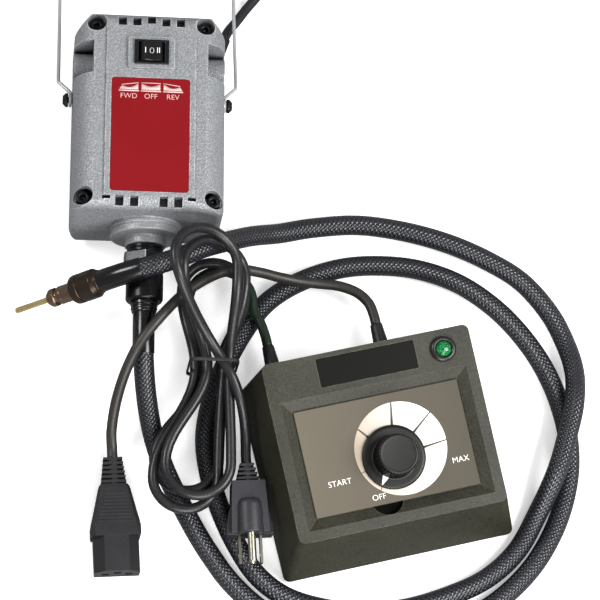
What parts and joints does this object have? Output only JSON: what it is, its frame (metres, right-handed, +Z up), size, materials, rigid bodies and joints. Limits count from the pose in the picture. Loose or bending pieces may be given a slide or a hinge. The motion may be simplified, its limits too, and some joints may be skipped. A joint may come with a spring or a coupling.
{
  "type": "rotary tool with flex shaft",
  "caption": "Hang-up flexible-shaft motor with wire bail and reversing switch, braided flex shaft with key tip, and a wedge-shaped table-top dial speed control with mains and outlet cords.",
  "frame": {"origin": "centre of the box round the motor with its bail and the speed control, on the table (z = 0), measured without the cords and the flexible shaft", "axes": "+Z up from the table, +Y toward the motor's top end, +X to the right, seen from above with the motor's connector end toward -Y"},
  "size_m": [0.3506, 0.5445, 0.0848],
  "materials": {
    "housing": "silver hammertone enamel on cast metal",
    "machined": "turned metal",
    "wire": "bright steel wire",
    "screw_black": "black oxide",
    "screw_steel": "zinc plated",
    "label": "red printed label",
    "black_gloss": "semi-gloss moulded",
    "black_matte": "matt moulded",
    "brass": "bare",
    "carbon": "pressed carbon",
    "steel": "ground",
    "laminations": "stacked sheet steel",
    "copper": "copper, varnished",
    "fan": "moulded",
    "sheath": "glossy diamond braid",
    "snap": "brown-black",
    "case": "fine grain, black-olive",
    "feet": "soft black",
    "panel": "grey-brown satin",
    "plate": "blank black plate",
    "board": "circuit board",
    "heat_sink": "bare",
    "bezel": "black-green",
    "lens": "clear green",
    "cord_black": "flexible jacket",
    "cord_green": "flexible jacket with a green cast",
    "cord_brown": "flexible jacket, grey-brown"
  },
  "bodies": {
    "set": {"front_housing": "housing", "rear_housing": "housing", "shell_screws": "screw_black", "label_plate": "label", "switch_body": "black_gloss", "brush_holders": "brass", "carbon_brushes": "carbon", "brush_springs": "steel", "brush_caps": "black_matte", "field_core": "laminations", "field_coils": "copper", "upper_bearing": "steel", "lower_bearing": "steel", "end_flange": "machined", "lock_washer": "black_matte", "hex_nut": "machined", "connector_sleeve": "black_matte", "sheath_ring": "black_matte", "bail_screws": "screw_black", "motor_cord_relief": "black_matte", "motor_cord": "cord_black", "motor_cord_coil": "cord_black", "coil_tie": "black_matte", "motor_plug_body": "black_gloss", "motor_plug_pins": "steel", "flex_sheath": "sheath", "sheath_ferrule": "black_matte", "snap_connector": "snap", "control_case": "case", "control_base": "case", "rubber_feet": "feet", "base_screws": "screw_steel", "control_panel": "panel", "name_plate": "plate", "pot_body": "steel", "pot_nut": "brass", "circuit_board": "board", "power_triac": "heat_sink", "pilot_bezel": "bezel", "pilot_lens": "lens", "cord_glands": "black_matte", "mains_cord": "cord_green", "mains_hank": "cord_black", "hank_tie": "black_matte", "plug_cord": "cord_black", "mains_plug_body": "black_gloss", "mains_plug_prongs": "brass", "outlet_cord": "cord_brown", "outlet_connector": "black_gloss"},
    "armature": {"armature_shaft": "steel", "armature_core": "laminations", "armature_windings": "copper", "commutator": "copper", "cooling_fan": "fan"},
    "rocker": {"rocker": "black_gloss"},
    "bail": {"bail": "wire"},
    "key_tip": {"key_tip": "brass"},
    "dial": {"dial_knob": "black_gloss", "pot_shaft": "steel"}
  },
  "joints": [
    {"name": "armature_spin", "type": "hinge", "parent": "set", "child": "armature", "pos_m": [-0.086, 0.0705, 0.037], "axis": [0, -1, 0], "continuous": true},
    {"name": "key_tip_spin", "type": "hinge", "parent": "set", "child": "key_tip", "pos_m": [-0.1132, -0.0226, 0.041], "axis": [-0.7731, -0.1302, -0.6208], "continuous": true},
    {"name": "rocker_tilt", "type": "hinge", "parent": "set", "child": "rocker", "pos_m": [-0.086, 0.1125, 0.0735], "axis": [0, 1, 0], "range_deg": [-12, 12]},
    {"name": "bail_swing", "type": "hinge", "parent": "set", "child": "bail", "pos_m": [-0.086, 0.0945, 0.037], "axis": [1, 0, 0], "range_deg": [0, 110]},
    {"name": "dial_turn", "type": "hinge", "parent": "set", "child": "dial", "pos_m": [0.06299, -0.12793, 0.04829], "axis": [0.0304, -0.1255, 0.9916], "range_deg": [-258, 0]}
  ],
  "couplings": [
    {"joint": "key_tip_spin", "follows": "armature_spin", "ratio": 1}
  ]
}
